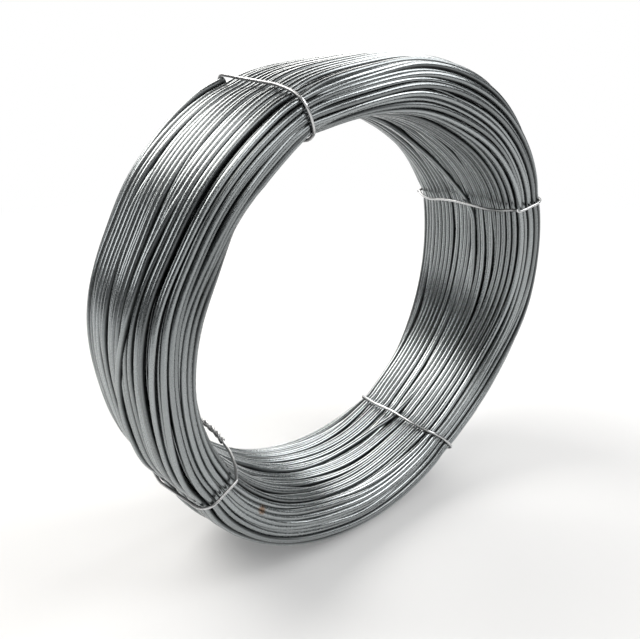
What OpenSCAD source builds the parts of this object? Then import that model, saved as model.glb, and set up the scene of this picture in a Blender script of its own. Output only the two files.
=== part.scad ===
// Coil of aluminium wire, wound in one length and held by four thin tie wires.
// It stands on its rim on a level floor. The coil's axis runs along Y, +Z is up, and the
// origin is on the floor, in the middle of the coil. Millimetres.

/* [Wire] */
// Diameter of the wound aluminium wire
wire_d = 4; // [2:0.1:6]
// Diameter of the tie wire
tie_d = 1.8; // [1:0.1:2.5]

/* [Coil] */
// Diameter of the eye, between the innermost turns
eye_d = 230; // [150:5:320]
// Height of the winding, from the eye's wall to the rim
winding_h = 32; // [20:1:60]
// Width of the coil along its axis
coil_w = 95; // [60:1:140]
// Radius at which the turns round off from the rim to an end
rim_round = 14; // [8:1:19]
// Radius at which the turns round off from an end to the eye
eye_round = 12; // [6:1:14]
// Depth of the grooves between neighbouring turns
groove = 1.2; // [0.4:0.1:1.8]

/* [Ties] */
// Place of the first tie round the coil, in degrees from +X towards +Z
tie_1_angle = 22; // [0:1:359]
// Place of the second tie
tie_2_angle = 114; // [0:1:359]
// Place of the third tie
tie_3_angle = 216; // [0:1:359]
// Place of the fourth tie
tie_4_angle = 298; // [0:1:359]
// How far the slack third tie stands off the eye's wall, at its middle
slack = 8; // [6:1:25]
// Length of the twist that closes a tie
twist_l = 15; // [8:1:25]
// Gap between a tie and the crests of the turns
tie_gap = 0.05; // [0.02:0.01:0.3]

/* [Hidden] */

eye_r = eye_d / 2;
coil_r = eye_r + winding_h;
half_w = coil_w / 2;
wire_r = wire_d / 2;
// A low winding limits its roundings, which never take up more than its height.
rim_in = min(rim_round, 0.55 * winding_h);
eye_in = min(eye_round, 0.4 * winding_h);
// The turns' centres lie on a rounded outline, half a wire inside the coil's faces.
rim_arc = rim_in - wire_r;
eye_arc = eye_in - wire_r;
mid_w = half_w - wire_r;
mid_rim = coil_r - wire_r;
mid_eye = eye_r + wire_r;
// Lengths along that outline, from the eye over an end to the middle of the rim
eye_turn = eye_arc * PI / 2;
end_run = mid_rim - mid_eye - rim_arc - eye_arc;
rim_turn = rim_arc * PI / 2;
rim_run = mid_w - rim_arc;
outline = eye_turn + end_run + rim_turn + rim_run;
turns = ceil(outline / wire_d);
pitch = outline / turns;
// A tie's centre line runs this far outside the coil's faces.
tie_off = tie_gap + tie_d / 2;
// Two wires twisted together, and the angle round the bend at which the twist lies
twist_d = 1.9 * tie_d;
twist_at = 60;
// The slack tie's longer twist, and the share of its arc at which the twist begins
slack_twist_l = 3 * twist_l;
twist_inset = 0.7;
alloy = [0.66, 0.68, 0.68];
bright = [0.80, 0.81, 0.81];

// Point of the outline at a length s from where the eye's wall ends, as [radius, half width]
function on_outline(s) =
    s < eye_turn
        ? let (a = s / eye_arc * 180 / PI)
          [mid_eye + eye_arc * (1 - cos(a)), mid_w - eye_arc * (1 - sin(a))]
    : s < eye_turn + end_run
        ? [mid_eye + eye_arc + s - eye_turn, mid_w]
    : s < eye_turn + end_run + rim_turn
        ? let (a = (s - eye_turn - end_run) / rim_arc * 180 / PI)
          [mid_rim - rim_arc * (1 - sin(a)), mid_w - rim_arc * (1 - cos(a))]
    : [mid_rim, rim_run - (s - eye_turn - end_run - rim_turn)];

// Rounded block that fills the winding up to the bottoms of the grooves
module winding_section() {
    in = groove;
    r_rim = rim_in - in;
    r_eye = eye_in - in;
    w = half_w - in;
    translate([eye_r, -half_w + eye_in])
        square([coil_r - rim_in - eye_r, coil_w - 2 * eye_in]);
    translate([eye_r + eye_in, -w])
        square([coil_r - rim_in - eye_r - eye_in, 2 * w]);
    translate([coil_r - rim_in - eye_in, -half_w + rim_in])
        square([rim_in + eye_in - in, coil_w - 2 * rim_in]);
    for (side = [-1, 1]) {
        translate([coil_r - rim_in, side * (half_w - rim_in)])
            circle(r = r_rim, $fn = 64);
        translate([eye_r + eye_in, side * (half_w - eye_in)])
            circle(r = r_eye, $fn = 64);
    }
}

// The whole winding as one turned solid: its turns show on both ends and on the rim,
// and the eye is a plain bore that touches the innermost turns.
module coil() {
    color(alloy)
        translate([0, 0, coil_r])
            rotate([90, 0, 0])
                rotate_extrude($fn = 180) {
                    winding_section();
                    for (i = [0 : turns - 1], side = [-1, 1]) {
                        p = on_outline((i + 0.5) * pitch);
                        translate([p[0], side * p[1]])
                            circle(d = wire_d, $fn = 32);
                    }
                }
}

// Sets a piece that is drawn in the plane of X and Y, with X away from the coil's axis,
// at an angle round the coil
module round_coil(angle) {
    translate([0, 0, coil_r])
        rotate([0, -angle, 0])
            children();
}

// Straight piece of tie wire from the first point to the second, in the tie's plane
module tie_run(from, to) {
    d = to - from;
    translate([from[0], from[1], 0])
        rotate([0, 0, atan2(d[1], d[0])])
            rotate([0, 90, 0])
                cylinder(d = tie_d, h = norm(d), $fn = 24);
}

// Bend of tie wire about a point, from an angle in the tie's plane
module tie_bend(about, radius, from, sweep = 90, d = tie_d) {
    translate([about[0], about[1], 0])
        rotate([0, 0, from])
            rotate_extrude(angle = sweep, $fn = 96)
                translate([radius, 0])
                    circle(d = d, $fn = 24);
}

// The ends of the tie wire, twisted together and pressed down along the rim's back edge
module twist(about) {
    translate([about[0], about[1], -tie_d / 2])
        rotate([0, 0, twist_at])
            translate([rim_in + tie_gap + tie_d, 0, 0])
                cylinder(d = twist_d, h = twist_l, $fn = 24);
}

// Tie wire round the winding's section. With a slack, its run inside the eye bows inwards.
module tie(angle, slack = 0) {
    rim_x = coil_r + tie_off;
    eye_x = eye_r - tie_off;
    end_y = half_w + tie_off;
    rim_c = [coil_r - rim_in, half_w - rim_in];
    eye_c = [eye_r + eye_in, half_w - eye_in];
    rim_b = rim_in + tie_off;
    eye_b = eye_in + tie_off;
    color(bright)
        round_coil(angle) {
            tie_run([rim_x, -rim_c[1]], [rim_x, rim_c[1]]);
            for (side = [-1, 1]) {
                tie_run([eye_c[0], side * end_y], [rim_c[0], side * end_y]);
                tie_bend([rim_c[0], side * rim_c[1]], rim_b, side > 0 ? 0 : 270);
                if (slack == 0)
                    tie_bend([eye_c[0], side * eye_c[1]], eye_b, side > 0 ? 90 : 180);
            }
            if (slack == 0) {
                tie_run([eye_x, -eye_c[1]], [eye_x, eye_c[1]]);
                twist(rim_c);
            } else
                slack_run(eye_c, eye_b, end_y, slack);
        }
}

// Bowed run of a slack tie: one arc through the eye, clear of the winding's rounded edges, with
// a straight piece and a kink on each end. The arc's back part is the twist.
module slack_run(eye_c, eye_b, end_y, slack) {
    deep = eye_c[0] - eye_r + slack;
    bow = (deep * deep + eye_c[1] * eye_c[1] - eye_b * eye_b) / (2 * (deep - eye_b));
    centre = [eye_r - slack + bow, 0];
    reach = asin(end_y / bow);
    kink_x = centre[0] - bow * cos(reach);
    for (side = [-1, 1])
        tie_run([kink_x - tie_d / 2, side * end_y], [eye_c[0] + tie_d / 2, side * end_y]);
    tie_bend(centre, bow, 180 - reach, 2 * reach);
    twist_sweep = slack_twist_l / bow * 180 / PI;
    tie_bend(centre, bow, 180 - twist_inset * reach, twist_sweep, twist_d);
}

module tie_1() tie(tie_1_angle);
module tie_2() tie(tie_2_angle);
module tie_3() tie(tie_3_angle, slack);
module tie_4() tie(tie_4_angle);

coil();
tie_1();
tie_2();
tie_3();
tie_4();
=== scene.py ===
import functools
import math

import bpy
import numpy as np
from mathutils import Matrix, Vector


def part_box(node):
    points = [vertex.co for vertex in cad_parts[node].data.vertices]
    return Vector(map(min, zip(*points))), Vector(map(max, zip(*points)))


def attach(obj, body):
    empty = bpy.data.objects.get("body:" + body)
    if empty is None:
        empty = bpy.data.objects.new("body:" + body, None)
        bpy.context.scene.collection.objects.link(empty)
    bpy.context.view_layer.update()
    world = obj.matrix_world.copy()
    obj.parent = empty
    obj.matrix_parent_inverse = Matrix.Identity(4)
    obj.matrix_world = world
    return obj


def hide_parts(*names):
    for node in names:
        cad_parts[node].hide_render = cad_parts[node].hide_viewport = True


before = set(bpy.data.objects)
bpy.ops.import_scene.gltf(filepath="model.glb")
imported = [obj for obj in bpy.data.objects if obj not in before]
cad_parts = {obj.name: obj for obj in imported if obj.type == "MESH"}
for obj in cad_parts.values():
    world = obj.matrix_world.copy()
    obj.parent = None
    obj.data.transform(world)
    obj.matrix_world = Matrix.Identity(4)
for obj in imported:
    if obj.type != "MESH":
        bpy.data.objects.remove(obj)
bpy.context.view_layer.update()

# ---------------------------------------------------------------- camera
# It stands to the left of the coil's axis and looks a little down into the eye.
MM = 0.001
AXIS_X = -2.0
AZIMUTH, ELEVATION = math.radians(-38.41), math.radians(19.07)
DISTANCE = 440.8 * MM
TARGET = Vector((AXIS_X, 0, 143.5)) * MM
back = Vector((math.sin(AZIMUTH) * math.cos(ELEVATION),
               -math.cos(AZIMUTH) * math.cos(ELEVATION), math.sin(ELEVATION)))
lens = bpy.data.cameras.new("camera")
lens.lens, lens.sensor_width = 38.37, 36
lens.shift_x, lens.shift_y = -0.030, -0.0304
lens.clip_start = 0.01
camera = bpy.data.objects.new("camera", lens)
camera.location = TARGET + DISTANCE * back
camera.rotation_euler = (-back).to_track_quat("-Z", "Y").to_euler()
bpy.context.scene.collection.objects.link(camera)
bpy.context.scene.camera = camera
bpy.context.scene.view_settings.view_transform = "Standard"

# ---------------------------------------------------------------- studio
# A pale matt floor that fades to white round the coil, a white backdrop low behind it, and a dim
# room elsewhere. Soft panels stand round the coil, above its height.
WHITE = (1, 1, 1, 1)
FLOOR_GREY = (0.66, 0.66, 0.66, 1)
DIM_ROOM = (0.72, 0.77, 0.80, 1)
WARM = (1, 0.98, 0.95)
LAMP_DISTANCE = 2.2


class Value:
    """A socket's value that Python operators work on."""

    def __init__(self, nodes, socket):
        self.nodes, self.socket = nodes, socket

    def math(self, operation, *others):
        return self.nodes("ShaderNodeMath", {"operation": operation}, self, *others)

    def __add__(self, other):
        return self.math("ADD", other)

    def __sub__(self, other):
        return self.math("SUBTRACT", other)

    def __mul__(self, other):
        return self.math("MULTIPLY", other)

    def __truediv__(self, other):
        return self.math("DIVIDE", other)

    def __rsub__(self, other):
        return (self * -1) + other

    __radd__, __rmul__ = __add__, __mul__

    def between(self, low, high):
        """0 up to low, 1 from high on, and smooth from one to the other."""
        return self.nodes("ShaderNodeMapRange", {"interpolation_type": "SMOOTHSTEP"},
                          self, low, high)


class Nodes:
    """A node tree. Calling it adds a node and returns its first output as a Value."""

    def __init__(self, tree):
        self.tree = tree
        tree.nodes.clear()

    def node(self, kind, settings=None, *values, **named):
        """Adds a node. Its sockets take values or links in their order, or by name."""
        node = self.tree.nodes.new(kind)
        for name, value in (settings or {}).items():
            setattr(node, name, value)
        by_name = [(name.replace("_", " "), value) for name, value in named.items()]
        for key, value in list(enumerate(values)) + by_name:
            if isinstance(value, Value):
                self.tree.links.new(value.socket, node.inputs[key])
            elif value is not None:
                node.inputs[key].default_value = value
        return node

    def __call__(self, kind, settings=None, *values, **named):
        node = self.node(kind, settings, *values, **named)
        return Value(self, node.outputs[0]) if node.outputs else node

    def out(self, node, name):
        return Value(self, node.outputs[name])


def floor_material():
    """Pale and matt. The camera, metal and glass see it whiter, and white further off."""
    material = bpy.data.materials.new("pale_floor")
    material.use_nodes = True
    n = Nodes(material.node_tree)
    pale = n("ShaderNodeBsdfDiffuse", None, FLOOR_GREY)
    white = n("ShaderNodeEmission", None, WHITE, 1.0)
    path = n.node("ShaderNodeLightPath")
    looked_at = (n.out(path, "Is Camera Ray") + n.out(path, "Is Glossy Ray")
                 + n.out(path, "Is Transmission Ray"))
    place = n.out(n.node("ShaderNodeTexCoord"), "Object")
    away = n.out(n.node("ShaderNodeVectorMath", {"operation": "LENGTH"}, place), "Value")
    whiter = looked_at * (0.15 + away.between(0.4, 1.2) * 0.85)
    n("ShaderNodeOutputMaterial", None, n("ShaderNodeMixShader", None, whiter, pale, white))
    return material


floor = bpy.data.objects.new("floor", bpy.data.meshes.new("floor"))
floor.data.from_pydata([(-4, -4, 0), (4, -4, 0), (4, 4, 0), (-4, 4, 0)], [], [(0, 1, 2, 3)])
floor.data.materials.append(floor_material())
bpy.context.scene.collection.objects.link(floor)

world = bpy.data.worlds.new("studio")
bpy.context.scene.world = world
world.use_nodes = True
w = Nodes(world.node_tree)
outward = w.out(w.node("ShaderNodeTexCoord"), "Generated")
behind_and_low = w.node("ShaderNodeVectorMath", {"operation": "DOT_PRODUCT"}, outward,
                        (-back.x, -back.y, -1.0))
backdrop = w.out(behind_and_low, "Value").between(0.55, 0.75)
room = w("ShaderNodeBackground", None, DIM_ROOM, 0.06)
white = w("ShaderNodeBackground", None, WHITE, 1.0)
w("ShaderNodeOutputWorld", None, w("ShaderNodeMixShader", None, backdrop, room, white))


def lamp(name, turn, height, size, power, tint=(1, 1, 1)):
    """A soft panel that faces the coil, in degrees round from +Y to +X and above the floor."""
    light = bpy.data.lights.new(name, "AREA")
    light.shape, light.size, light.size_y = "RECTANGLE", size[0], size[1]
    light.energy, light.color = power, tint
    thing = bpy.data.objects.new(name, light)
    turn, height = math.radians(turn), math.radians(height)
    way = Vector((math.sin(turn) * math.cos(height), math.cos(turn) * math.cos(height),
                  math.sin(height)))
    thing.location = TARGET + LAMP_DISTANCE * way
    thing.rotation_euler = (-way).to_track_quat("-Z", "Y").to_euler()
    bpy.context.scene.collection.objects.link(thing)


lamp("key", 132, 41, (1.1, 1.2), 26)
lamp("right", 86, 44, (0.9, 0.9), 12)
lamp("front", 184, 34, (1.3, 1.3), 14)
lamp("left", -75, 24, (1.2, 0.6), 6)
lamp("back_left", -34, 47, (1.3, 1.2), 38, WARM)
lamp("back", 26, 28, (1.8, 1.2), 36, WARM)
lamp("panel", -90, 60, (2.4, 0.8), 16, (1, 0.97, 0.92))

# ---------------------------------------------------------------- outer turns
# Round aluminium wire in one length, laid in layers round the eye. Its turns lie side by side,
# nestle between each other on the near end, sink where room is short and leave dark gaps where it
# is not. The ties pull the whole bundle in.
lo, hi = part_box("coil")
CAD_RIM = (hi.x - lo.x) / 2 / MM
CAD_WIDTH = (hi.y - lo.y) / MM
CAD_EYE = 115.0
# The wire is a little thinner than the pitch of its turns, so that a fine gap shows between them.
WIRE = 4.0
DRAWN = 0.92 * WIRE
# The ties' places round the coil
TIES = np.radians([23, 114, 212, 299])
# Turns are counted from the seam. At this share of a turn past it, the turns that nestle change
# places with their neighbours, so that the wire stays one helix.
SEAM = math.radians(65)
SWAP = (math.radians(113) - SEAM) / (2 * np.pi)
# How far the bundle is out of round, in millimetres: cosine and sine weights for once, twice and
# more round the coil
RIM_WAVES = (1.5, 2.6), (2.1, 3.8), (-0.5, -1.4), (-0.4, 0.5)
EYE_WAVES = (0.6, 2.2), (2.3, 3.4), (1.3, -1.5), (-0.2, 0.9)
WIDTH_WAVES = (-1.1, 4.9), (1.2, 1.8), (3.1, 0.1), (0.7, -0.2)
ASIDE_WAVES = (0, 0), (3.0, -3.0)
# Humps and dents on top of that: degrees round the coil, spread in degrees, height in millimetres
RIM_HUMPS = ((34, 15, 3.6), (58, 11, 3.8), (95, 9, -3.2), (155, 6, -1.2), (173, 9, 1.2),
             (192, 7, -1.2), (211, 4, -2.4), (238, 10, 1.0), (298, 6, 1.2), (321, 6, 1.2),
             (352, 9, 1.2))
EYE_HUMPS = ((52, 16, -2.4), (117, 5, 1.6), (156, 9, -1.8), (193, 11, 2.5), (248, 12, 1.2),
             (335, 12, 0.9))
# The section's shape, from 0 for a box to 1 for an ellipse
ROUNDED = 0.5


def near(angle, place, width):
    """1 at a place round the coil, fading within a width, both in radians."""
    away = (angle - place + np.pi) % (2 * np.pi) - np.pi
    return np.exp(-0.5 * (away / width) ** 2)


def uneven(angle, mean, waves, humps=()):
    """A size of the bundle at angles round the coil, from its mean, waves and humps."""
    size = mean + 0 * angle
    for n, (c, s) in enumerate(waves, 1):
        size = size + c * np.cos(n * angle) + s * np.sin(n * angle)
    for degrees, spread, height in humps:
        size = size + height * near(angle, math.radians(degrees), math.radians(spread))
    return size


def section(angle):
    """The bundle at angles round the coil: middle radius, half depth, middle y, half width."""
    rim = uneven(angle, CAD_RIM + 3, RIM_WAVES, RIM_HUMPS)
    eye = uneven(angle, CAD_EYE + 0.4, EYE_WAVES, EYE_HUMPS)
    width = uneven(angle, CAD_WIDTH - 1.5, WIDTH_WAVES)
    aside = uneven(angle, 0, ASIDE_WAVES)
    pull = sum(near(angle, tie, 0.11) for tie in TIES)
    return (rim + eye) / 2, (rim - eye) / 2 - 0.6 * pull, aside, width / 2 - 0.8 * pull


# The bundle's lowest point rests on the floor.
BOTTOM = np.radians(np.arange(230, 310))
LOWEST = ((section(BOTTOM)[0] + section(BOTTOM)[1]) * np.sin(BOTTOM)).min()


def in_space(r, y, angle):
    """Points in metres from radius and y, in millimetres, and the angle round the coil."""
    return np.stack([r * np.cos(angle) + AXIS_X, y, r * np.sin(angle) - LOWEST], -1) * MM


def outline(angle, depth):
    """Points round the bundle's section at a depth, from the middle of the eye's wall over the
    near end, as radius and y, and the length up to each."""
    middle, half_depth, aside, half_width = section(angle)
    way = np.linspace(-np.pi, np.pi, 721)
    c, s = np.cos(way), np.sin(way)
    r = middle + (half_depth - depth) * np.sign(c) * np.abs(c) ** ROUNDED
    y = aside + (half_width - depth) * np.sign(s) * np.abs(s) ** ROUNDED
    return r, y, np.concatenate([[0], np.cumsum(np.hypot(np.diff(r), np.diff(y)))])


def smooth(x):
    """0 up to 0, 1 from 1 on, and smooth from one to the other."""
    x = np.clip(x, 0, 1)
    return x * x * (3 - 2 * x)


def sunk(share):
    """How deep a wire sinks, in its own widths, when its neighbours leave it this share of room."""
    return np.sqrt(np.clip(1 - ((1 + share) / 2) ** 2, 0, 1))


def faces(share):
    """How far places are on the near end, and in the eye, at shares of the section's outline."""
    end = smooth((share - 0.165) / 0.05) * smooth((0.365 - share) / 0.05)
    eye = smooth((0.17 - np.minimum(share, 1 - share)) / 0.05)
    return end, eye


def room_taken(share, nestle):
    """The room a turn takes on the outline, in wire widths. Turns lie closest on the near end,
    where they nestle, and a third as much closer in the eye."""
    end, eye = faces(share)
    return 1 - nestle * end - 0.35 * nestle * eye


class Layer:
    """One layer of turns, wound as one helix round the section. Places along the outline and
    depths are in wire widths, and stretches of wire in turns. Arrays have a row for each turn and
    a column for each step round the coil."""

    def __init__(self, seed, turns, steps, depth, start, dips, climbers=(), nestle=0.0):
        self.rng = np.random.default_rng(seed)
        self.turns, self.steps = turns, steps
        self.angle = SEAM + np.arange(steps) * 2 * np.pi / steps
        self.turn = (self.angle - SEAM) / (2 * np.pi)
        self.paths = [outline(angle, depth * WIRE) for angle in self.angle]
        self.girth = np.array([along[-1] for _, _, along in self.paths]) / WIRE
        self.taken = []
        self.opened = np.zeros((turns, steps))
        self.climbers = [self.open_gaps(*climber) for climber in climbers]
        share = self.shares(start, nestle)
        room = room_taken(share, nestle)
        kept, way = self.dip(self.dive(room), dips)
        self.lay(room * kept, start)
        self.settle(way * sunk(kept), share, nestle)
        self.tones_with_painted_shade(share)

    def spell(self, centre, half, ramp):
        """1 on a stretch of the wire, 0 elsewhere."""
        t = np.arange(self.turns * self.steps) / self.steps
        away = np.abs((t - centre + self.turns / 2) % self.turns - self.turns / 2)
        return smooth((half - away) / ramp + 0.5).reshape(self.turns, self.steps)

    def drift(self, knots):
        """Smooth random values along the wire, about 1 in size, that close on themselves."""
        k = self.rng.standard_normal(self.turns * knots)
        t = np.arange(self.turns * self.steps) * knots / self.steps
        i = np.floor(t).astype(int)
        f = t - i
        a, b, c, d = (k[(i + j) % len(k)] for j in (-1, 0, 1, 2))
        value = b + 0.5 * f * (c - a + f * (2 * a - 5 * b + 4 * c - d + f * (3 * (b - c) + d - a)))
        return value.reshape(self.turns, self.steps)

    def open_gaps(self, row, first, second, jump, span):
        """Opens two gaps, some rows apart, for a turn that crosses from one to the other and
        back, within a span of degrees at each of two places. It returns the gaps' stretches."""
        a, b = ((math.radians(x) - SEAM) / (2 * np.pi) for x in (first, second))
        half = span / 360 / 2
        legs = [(row + a + half, row + b - half),
                (row + b + half + jump, row + a + 1 - half + jump)]
        for begin, end in legs:
            self.opened += self.spell((begin + end) / 2, (end - begin) / 2, 0.08)
        return legs

    def shares(self, start, nestle):
        """The share of the outline at which each turn comes to lie, with the nestling ones
        closer together."""
        share = np.linspace(0, 1, 401)
        count = np.concatenate([[0], np.cumsum(1 / room_taken(share, nestle))[:-1]])
        count = count / count[-1]
        order = (np.arange(self.turns)[:, None] + self.turn) / self.turns
        return np.interp((order + np.interp(start, share, count)) % 1, count, share)

    def take(self, centre, half):
        """Takes a stretch of wire if no neighbour dives or dips beside it, and says so."""
        for other, width in self.taken:
            for beside in (-1, 0, 1):
                away = (centre - other + beside + self.turns / 2) % self.turns - self.turns / 2
                if abs(away) < half + width:
                    return False
        self.taken.append((centre, half))
        return True

    def dive(self, room, tries=4000, enough=0.2):
        """The share of its room that each turn keeps. Where the layer is too short for all of
        them, some dive under for a stretch, until there is enough room to spare."""
        rng, kept = self.rng, np.ones((self.turns, self.steps))
        for _ in range(tries):
            spare = self.girth - (room * kept).sum(0) - self.opened.sum(0)
            if spare.min() > enough:
                break
            column = np.argmin(spare + 0.6 * rng.standard_normal(self.steps))
            centre = rng.integers(self.turns) + column / self.steps + 0.06 * rng.standard_normal()
            half, ramp = rng.uniform(0.05, 0.16), rng.uniform(0.10, 0.18)
            if self.take(centre, half + ramp / 2):
                kept = kept * (1 - rng.uniform(0.8, 1.0) * self.spell(centre, half, ramp))
        return kept

    def dip(self, kept, dips):
        """Some turns leave a little of their room: most of them sink, and some stand proud."""
        rng, way = self.rng, np.ones((self.turns, self.steps))
        for _ in range(20 * dips):
            centre = rng.uniform(0, self.turns)
            half, ramp = rng.uniform(0.1, 0.3), rng.uniform(0.12, 0.22)
            if dips and self.take(centre, half + ramp / 2):
                dips -= 1
                part = self.spell(centre, half, ramp)
                kept = kept * (1 - rng.uniform(0.03, 0.35) * part)
                if rng.uniform() < 0.3:
                    way[part > 0] = -0.8
        return kept, way

    def lay(self, room, start):
        """Lays the turns side by side and shares the spare room out as gaps, fewer at the ties."""
        spare = self.girth - room.sum(0) - self.opened.sum(0)
        pull = sum(near(self.angle, tie, 0.09) for tie in TIES)
        gap = 0.4 + np.clip(self.drift(4) - 0.9, 0, 1.2) * (1 - 0.7 * pull)
        gap = gap / gap.sum(0) * spare + self.opened
        slot = room + gap
        place = (np.cumsum(slot, 0) - slot + room / 2 + slot[0, 0] * self.turn
                 + start * self.girth)
        self.after = place + room / 2 + gap / 2
        self.place = place + 0.012 * self.drift(12)

    def settle(self, sink, share, nestle):
        """Sinks every second turn that nestles, and lets all of them rise and fall a little."""
        end, eye = faces(share)
        deep = (np.arange(self.turns)[:, None] + smooth((self.turn - SWAP) / 0.04 + 0.5)) % 2
        deep = np.minimum(deep, 2 - deep)
        loose = 0.13 - 0.08 * eye - 0.04 * end
        self.sink = (sink + 1.8 * nestle * end * deep + loose * np.clip(self.drift(4), -1.6, 2)
                     + 0.01 * self.drift(12))

    def tones_with_painted_shade(self, share):
        """Tones of the metal: random along the wire, darker on the near end and along that end's
        edge beside the eye round 155 degrees, and painted shade on the eye's wall round 62 degrees."""
        end, eye = faces(share)
        edge = smooth((share - 0.11) / 0.05) * smooth((0.29 - share) / 0.08)
        self.tone = (self.drift(2) - 0.8 * end
                     - 2.5 * edge * near(self.angle, math.radians(155), 0.28)
                     # painted shade: the eye's wall round 62 degrees is darkened
                     - 1.6 * eye * near(self.angle, math.radians(62), 0.45))

    def rows(self, place, sink):
        """Radius and y of rows of places on the outline, sunk into the bundle."""
        r, y, nearby = np.empty(place.shape), np.empty(place.shape), 1.5
        for j, (path_r, path_y, along) in enumerate(self.paths):
            s = (place[:, j] % self.girth[j]) * WIRE
            ahead, behind = (s + nearby) % along[-1], (s - nearby) % along[-1]
            to_r = np.interp(ahead, along, path_r) - np.interp(behind, along, path_r)
            to_y = np.interp(ahead, along, path_y) - np.interp(behind, along, path_y)
            inwards = sink[:, j] * WIRE / np.hypot(to_r, to_y)
            r[:, j] = np.interp(s, along, path_r) - to_y * inwards
            y[:, j] = np.interp(s, along, path_y) + to_r * inwards
        return r, y

    def line(self, place, sink):
        """The rows one after the other, as points in metres."""
        r, y = self.rows(place, sink)
        return in_space(r, y, np.broadcast_to(self.angle, r.shape)).reshape(-1, 3)

    def climber(self, legs):
        """Place and sink of a wire that lies in two gaps in turn and climbs over between them."""
        place, sink = np.full(self.steps, np.nan), np.full(self.steps, np.nan)
        for begin, end in legs:
            t = np.arange(math.ceil(begin * self.steps), math.floor(end * self.steps) + 1)
            row, column = np.divmod(t % (self.turns * self.steps), self.steps)
            place[column] = self.after[row, column]
            sink[column] = -sunk(np.clip(self.opened[row, column], 0, 1))
        known = np.flatnonzero(~np.isnan(place))
        for a, b in zip(known, np.roll(known, -1)):
            span = (b - a) % self.steps
            f = np.arange(1, span) / span
            over = (a + np.arange(1, span)) % self.steps
            shift = (place[b] - place[a] + self.girth[a] / 2) % self.girth[a] - self.girth[a] / 2
            place[over] = place[a] + shift * smooth(f)
            sink[over] = sink[a] + (sink[b] - sink[a]) * f
        return place[None], sink[None]


def wire_tree():
    """Geometry nodes that turn chains of edges into round wire with its grain laid along it."""
    tree = bpy.data.node_groups.new("drawn_wire", "GeometryNodeTree")
    for name, kind in (("Geometry", "Geometry"), ("Diameter", "Float"), ("Sides", "Int"),
                       ("Material", "Material")):
        tree.interface.new_socket(name, in_out="INPUT", socket_type="NodeSocket" + kind)
    tree.interface.new_socket("Geometry", in_out="OUTPUT", socket_type="NodeSocketGeometry")
    n = Nodes(tree)
    given = n.node("NodeGroupInput")
    radius = n.out(given, "Diameter") * 0.5
    position = n("GeometryNodeInputPosition")

    def store(geometry, name, value, kind="FLOAT_VECTOR"):
        return n("GeometryNodeStoreNamedAttribute", {"data_type": kind}, geometry,
                 Name=name, Value=value)

    def stored(name, kind="FLOAT_VECTOR"):
        return n("GeometryNodeInputNamedAttribute", {"data_type": kind}, name)

    curve = n("GeometryNodeMeshToCurve", None, n.out(given, "Geometry"))
    curve = store(curve, "centre", position)
    ring = n("GeometryNodeCurvePrimitiveCircle", {"mode": "RADIUS"},
             Resolution=n.out(given, "Sides"), Radius=radius)
    ring = store(ring, "around", position)
    tube = n("GeometryNodeCurveToMesh", None, curve, Profile_Curve=ring, Fill_Caps=True)
    # The grain is the place round the wire and the length along it.
    around = n.node("ShaderNodeSeparateXYZ", None, stored("around"))
    grain = n("ShaderNodeCombineXYZ", None, n.out(around, "X"), n.out(around, "Y"),
              stored("along", "FLOAT"))
    tube = store(tube, "grain", grain)
    # The crest is 1 where the wire faces out of the bundle, and -1 where it faces in.
    reach = n("ShaderNodeVectorMath", {"operation": "SUBTRACT"}, position, stored("centre"))
    facing = n.node("ShaderNodeVectorMath", {"operation": "DOT_PRODUCT"}, reach,
                    stored("outward"))
    tube = store(tube, "crest", n.out(facing, "Value") / radius, "FLOAT")
    tube = n("GeometryNodeSetShadeSmooth", None, tube)
    tube = n("GeometryNodeRealizeInstances", None, tube)
    tube = n("GeometryNodeSetMaterial", None, tube, Material=n.out(given, "Material"))
    n("NodeGroupOutput", None, tube)
    return tree


WIRE_TREE = wire_tree()


def wire_piece(name, chains, diameter, sides, material, stands_for):
    """One piece of wire from chains of points, each with the way outward from the bundle, its
    tone and the length wound before, in metres."""
    mesh, count = bpy.data.meshes.new(name), 0
    points, outs, edges, tones, alongs = [], [], [], [], []
    for chain, outward, tone, wound in chains:
        k = len(chain)
        points.append(chain)
        outs.append(outward / np.linalg.norm(outward, axis=1, keepdims=True))
        edges.append(np.stack([np.arange(k - 1), np.arange(1, k)], -1) + count)
        tones.append(np.broadcast_to(tone, k))
        step = np.linalg.norm(np.diff(chain, axis=0), axis=1)
        alongs.append(wound + np.concatenate([[0], np.cumsum(step)]))
        count += k
    mesh.from_pydata(np.concatenate(points).tolist(), np.concatenate(edges).tolist(), [])
    for key, kind, field, values in (("tone", "FLOAT", "value", tones),
                                     ("along", "FLOAT", "value", alongs),
                                     ("outward", "FLOAT_VECTOR", "vector", outs)):
        values = np.concatenate(values).astype(np.float32).reshape(-1)
        mesh.attributes.new(key, kind, "POINT").data.foreach_set(field, values)
    piece = bpy.data.objects.new(name, mesh)
    bpy.context.scene.collection.objects.link(piece)
    grown = piece.modifiers.new("wire", "NODES")
    grown.node_group = WIRE_TREE
    given = {"Diameter": diameter * MM, "Sides": sides, "Material": material}
    for item in WIRE_TREE.interface.items_tree:
        if item.in_out == "INPUT" and item.name in given:
            grown[item.identifier] = given[item.name]
    graph = bpy.context.evaluated_depsgraph_get()
    result = bpy.data.meshes.new_from_object(piece.evaluated_get(graph), depsgraph=graph)
    piece.modifiers.clear()
    piece.data = result
    bpy.data.meshes.remove(mesh)
    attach(piece, "root")
    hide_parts(stands_for)


# One brown stain low on the near end
STAIN = in_space(130.0, -48.0, math.radians(224.6))
STAIN_BROWN = (0.25, 0.15, 0.09, 1)


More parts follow.
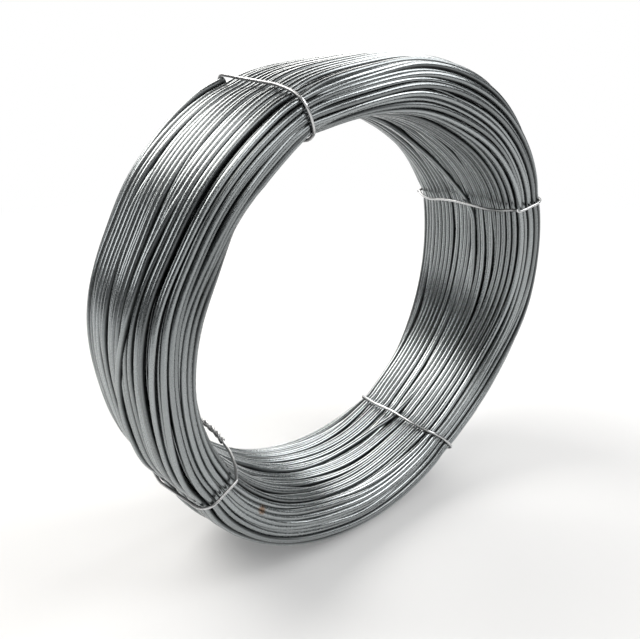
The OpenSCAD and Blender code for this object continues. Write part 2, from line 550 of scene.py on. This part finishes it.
def wire_material(name, colour, rough, spread, stain=None):
    """Drawn metal, with painted shade that darkens its colour from the crests into the grooves
    between the turns, where it is also rougher. Soft streaks and a slight waver run along it, and
    each stretch has a tone of its own."""
    material = bpy.data.materials.new(name)
    material.use_nodes = True
    n = Nodes(material.node_tree)
    tone = n.out(n.node("ShaderNodeAttribute", {"attribute_name": "tone"}), "Fac")
    crest = n.out(n.node("ShaderNodeAttribute", {"attribute_name": "crest"}), "Fac")
    grain = n.out(n.node("ShaderNodeAttribute", {"attribute_name": "grain"}), "Vector")

    def noise(cells, detail):
        """Noise with so many cells a metre, two ways across the wire and along it."""
        place = n("ShaderNodeVectorMath", {"operation": "MULTIPLY"}, grain, cells)
        return n("ShaderNodeTexNoise", None, place, Scale=1.0, Detail=detail)

    streak = noise((900, 900, 20), 3.0) - 0.5
    waver = noise((250, 250, 500), 2.0)
    mottle = noise((800, 800, 800), 1.0) - 0.5
    # Painted shade: the colour darkens from the crest into the grooves between the turns.
    crest_unshaded = crest.between(0.1, 0.85)
    value = (0.26 + crest_unshaded * 0.74) * (1 + (tone * 0.14 + streak * 0.5 + mottle * 0.18) * spread)
    shade = n("ShaderNodeVectorMath", {"operation": "SCALE"}, colour, Scale=value)
    roughness = rough + (1 - crest_unshaded) * 0.15 + (streak * 0.15 + mottle * 0.08) * spread
    if stain:
        place = n.out(n.node("ShaderNodeTexCoord"), "Object")
        off = n("ShaderNodeVectorMath", {"operation": "SUBTRACT"}, place, stain)
        off = n("ShaderNodeVectorMath", {"operation": "MULTIPLY"}, off, (1, 0.3, 1))
        off = n.out(n.node("ShaderNodeVectorMath", {"operation": "LENGTH"}, off), "Value")
        spot = 1 - (off + mottle * 0.002).between(0.0012, 0.0034)
        # The Mix node's sockets for numbers and vectors come before those for colours.
        mixed = n.node("ShaderNodeMix", {"data_type": "RGBA"}, spot * 0.8, *[None] * 5,
                       shade, STAIN_BROWN)
        shade = Value(n, mixed.outputs[2])
    height = waver * 0.00003 * spread + streak * 0.00001 + mottle * 0.00004 * spread
    bump = n("ShaderNodeBump", None, Strength=1.0, Distance=1.0, Height=height)
    shader = n("ShaderNodeBsdfPrincipled", None, Base_Color=shade, Metallic=1.0,
               Roughness=roughness, Normal=bump)
    n("ShaderNodeOutputMaterial", None, shader)
    return material


COIL_METAL = wire_material("coil_wire", (0.32, 0.34, 0.345), 0.26, 1.0, tuple(STAIN))
# Each layer begins at this share of the outline, on the far end beside the rim.
START = 0.66
# Two rows open for the crossing turns.
outer = Layer(seed=11, turns=64, steps=288, depth=0.5, start=START - 0.012, dips=16, nestle=0.26,
              climbers=((50, 200, 380, -3, 84), (22, 262, 400, -3, 64)))
# The wire's own end rides up over the rim's back edge to the second tie. Its other end dives.
cut = round((math.radians(112.4) - SEAM) / (2 * np.pi) * outer.steps)
t = np.arange(outer.turns * outer.steps).reshape(outer.turns, outer.steps)
first = (1 - smooth((t - cut) / (0.10 * outer.steps))) * (t >= cut)
last = smooth(1 + (t - cut) / (0.09 * outer.steps)) * (t < cut)
outer.sink += -0.95 * first + 0.9 * last
outer.tone += 1.5 * first
# The ties press into the turns they hold.
outer.sink += 0.16 * sum(near(outer.angle, tie, 0.035) for tie in TIES)
held = [outer.rows(outer.place, outer.sink)]
wire = np.roll(outer.line(outer.place, outer.sink), -cut, 0)
under = np.roll(outer.line(outer.place, outer.sink + 0.5), -cut, 0)
tone = np.roll(outer.tone.reshape(-1), -cut)
# The layer is in three pieces, with about 20 m of wire in each.
third = len(wire) // 3
for number in range(3):
    part = slice(number * third, (number + 1) * third + 1)
    chain = (wire[part], (wire - under)[part], tone[part], number * 20)
    wire_piece(f"winding_outer_{number + 1}", [chain], DRAWN, 12, COIL_METAL, "coil")

# ---------------------------------------------------------------- crossing turns
# Two turns of the same wire, where the winder crossed back. Each lies in a gap of the outer layer,
# climbs over its neighbours to another gap and, further round, climbs back.
chains = []
for number, legs in enumerate(outer.climbers):
    place, sink = outer.climber(legs)
    held.append(outer.rows(place, sink))
    line, under = outer.line(place, sink), outer.line(place, sink + 0.5)
    ring = np.r_[0:len(line), 0]
    chains.append((line[ring], (line - under)[ring], 0.5 - 0.3 * number, 60 + number))
wire_piece("winding_crossing", chains, DRAWN, 12, COIL_METAL, "coil")

# ---------------------------------------------------------------- inner turns
# The same wire in the four layers below, down to the winding's core. They show only through the
# gaps between the outer turns, so they are plainer, and their tone is lowered as painted shade deep
# in the bundle.
for name, seed, turns, steps, depth, sides in (
        ("winding_second", 12, 50, 200, 1.45, 8), ("winding_third", 13, 43, 132, 2.35, 6),
        ("winding_fourth", 14, 36, 96, 3.25, 6), ("winding_core", 15, 30, 96, 4.1, 6)):
    layer = Layer(seed, turns, steps, depth, START, dips=6)
    line, under = (layer.line(layer.place, layer.sink + d) for d in (0, 0.5))
    # A lower tone paints shade on these buried layers.
    wire_piece(name, [(line, line - under, layer.tone.reshape(-1) - 0.6, seed)], DRAWN, sides,
               COIL_METAL, "coil")

# ---------------------------------------------------------------- ties
# Four thin soft wires, each taken once round the bundle and closed by twisting its ends
# together. They are pulled tight over the crests of the turns, but for slack in two of them.
TIE = 1.8
TIE_METAL = wire_material("tie_wire", (0.60, 0.605, 0.61), 0.27, 0.25)
# Room for crests that stand higher beside the one that a tie touches, and the passes that ease
# its line, because the wire is too stiff to follow every crest
CLEAR = 0.55
EASING = 120
LOOP_STEPS = 720
# The twist that closes a tie: its length, its pitch and its number of points
KNOT, KNOT_PITCH, KNOT_STEPS = 14, 6.5, 90
# Twists in a whole loop, a whole number that keeps the two strands opposite each other
LOOP_TWISTS = 14


@functools.cache
def pulled_tight(column):
    """Radius and y of a tie pulled tight round the wires at one step round the coil."""
    r, y = (np.concatenate([rows[i][:, column] for rows in held]) for i in (0, 1))
    face = np.radians(np.arange(180, 543, 3))
    touched = (r[:, None] * np.cos(face) + y[:, None] * np.sin(face)).argmax(0)
    reach = (DRAWN + TIE) / 2 + CLEAR
    r, y = r[touched] + reach * np.cos(face), y[touched] + reach * np.sin(face)
    along = np.concatenate([[0], np.cumsum(np.hypot(np.diff(r), np.diff(y)))])
    evenly = np.arange(LOOP_STEPS) / LOOP_STEPS * along[-1]
    r, y = (np.interp(evenly, along, v) for v in (r, y))
    # It starts in the middle of the eye's wall.
    in_eye = np.flatnonzero(r <= r.mean())
    middle = in_eye[np.abs(y[in_eye] - (y.max() + y.min()) / 2).argmin()]
    return np.roll(r, -middle), np.roll(y, -middle)


def with_knot(line, outward, across):
    """The line with its ends twisted together and pressed down along the turns."""
    ahead = line[4] - line[0]
    ahead = ahead / np.linalg.norm(ahead)
    up = np.cross(ahead, across)
    up = up * np.sign(up @ outward)
    run = np.linspace(0, KNOT, KNOT_STEPS)[:, None]
    phase = run * 2 * np.pi / KNOT_PITCH
    swing = np.cos(phase) * ahead + np.sin(phase) * up
    one, other = (line[0] + (run * across + TIE / 2 * (up + side * swing)) * MM
                  for side in (1, -1))
    line = np.concatenate([one[::-1], line[3:-3], other])
    beside = np.arange(-10, 10)
    bends = np.concatenate([KNOT_STEPS + beside, len(line) - KNOT_STEPS + beside])
    for _ in range(6):
        line[bends] = (line[bends - 1] + 2 * line[bends] + line[bends + 1]) / 4
    return line


def tie(name, lean, knot=0.76, slack=None, twisted=None):
    """A tie wire. Shares are of the way round the bundle, from the middle of the eye's wall over
    the near end. The lean is degrees round the coil at shares. The slack is the greatest radius
    of the line through the eye, at places across it. The ends are twisted together in a knot at
    a share, or along the loop from one share to another."""
    begin, end = twisted or (knot, knot)
    way = begin + np.arange(int(LOOP_STEPS * (1 + (end - begin)))) / LOOP_STEPS
    share = way % 1
    angle = np.radians(np.interp(share, *zip(*lean), period=1))
    columns = np.round((angle - SEAM) / (2 * np.pi) * outer.steps).astype(int) % outer.steps
    places = np.round(share * LOOP_STEPS).astype(int) % LOOP_STEPS
    r, y = np.array([[v[i] for v in pulled_tight(column)]
                     for column, i in zip(columns, places)]).T
    if slack:
        in_eye = (share < 0.25) | (share > 0.75)
        r = np.where(in_eye, np.minimum(r, np.interp(y, *zip(*slack))), r)
    line = in_space(r, y, angle)
    for _ in range(EASING):
        line[1:-1] = (line[:-2] + 2 * line[1:-1] + line[2:]) / 4
    outward = np.stack([np.cos(angle), 0 * angle, np.sin(angle)], -1)
    across = np.stack([-np.sin(angle), 0 * angle, np.cos(angle)], -1)
    if twisted:
        in_twist = smooth((end - way) / 0.006) + smooth((way - begin - 1) / 0.006)
        phase = (way - begin) * 2 * np.pi * LOOP_TWISTS + np.pi * (way > begin + 0.5)
        swing = np.cos(phase)[:, None] * outward + np.sin(phase)[:, None] * across
        line = line + (in_twist * TIE / 2 * MM)[:, None] * swing
    else:
        line = with_knot(line, outward[0], across[0])
    wire_piece(name + "_wire", [(line, line - line.mean(0), 0.0, 0.1)], TIE, 10, TIE_METAL,
               name)


tie("tie_1", ((0, 26.8), (0.06, 26.4), (0.12, 25.8), (0.17, 25.1), (0.20, 24.7), (0.2225, 25.0),
              (0.245, 23.3), (0.265, 21.9), (0.31, 21.3), (0.5, 21), (0.69, 22.5), (0.80, 24.2),
              (0.86, 25.0), (0.90, 25.2), (0.95, 26.4)), knot=0.58,
    slack=((-46, 124), (-38, 119), (-28, 116.6), (-10, 116.3), (8, 116.2), (24, 116.6),
           (33, 118.6), (40, 122), (46, 127)))
tie("tie_2", ((0, 114.5), (0.17, 115), (0.31, 114.9), (0.40, 114.5), (0.50, 113.8), (0.60, 113),
              (0.70, 112.3), (0.80, 112.8)))
tie("tie_3", ((0, 212.4), (0.25, 212), (0.5, 212), (0.75, 212.4)), twisted=(0.88, 1.064),
    slack=((-51, 133), (-49, 128), (-44, 124.5), (-37, 120.5), (-26, 116.8), (-15, 115),
           (-6, 113.5), (8, 113), (16, 113.3), (28, 115.5), (38, 120), (46, 126), (50, 132)))
tie("tie_4", ((0, 296.3), (0.11, 296.7), (0.16, 297.5), (0.19, 299), (0.22, 300.3), (0.25, 301),
              (0.31, 302), (0.5, 301), (0.69, 300), (0.80, 298.3), (0.84, 297.6), (0.88, 296.5),
              (0.93, 296.1)))
